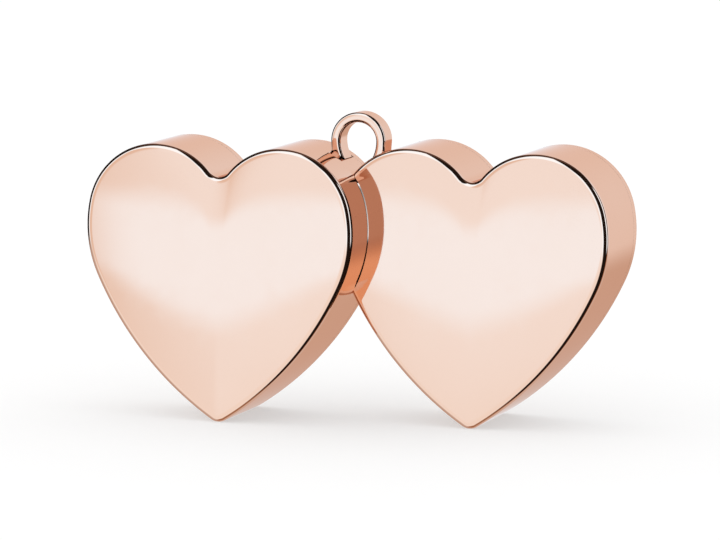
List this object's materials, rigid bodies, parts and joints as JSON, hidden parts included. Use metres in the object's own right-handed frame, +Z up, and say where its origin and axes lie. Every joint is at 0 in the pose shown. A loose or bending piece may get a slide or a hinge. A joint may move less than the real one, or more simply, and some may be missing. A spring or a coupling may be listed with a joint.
{
  "type": "balloon weight",
  "caption": "Freestanding balloon weight: two overlapping thick hearts in mirror rose gold, with a small eye between the lobes for tying ribbon.",
  "frame": {"origin": "on the ground, midway between the two heart tips and midway between front and back", "axes": "+Z up, +X to the right of someone facing the hearts, +Y to the back; the left heart stands forward, the right one is set back"},
  "size_m": [0.1032, 0.0318, 0.0604],
  "materials": {
    "rose_gold_plating": "mirror-bright vacuum-metallised plastic in rose gold",
    "cast_filler": "rough cast cement and sand"
  },
  "bodies": {
    "root": {"front_shell": "rose_gold_plating", "back_cover_left": "rose_gold_plating", "back_cover_right": "rose_gold_plating", "ballast_left": "cast_filler", "ballast_right": "cast_filler"}
  },
  "joints": []
}
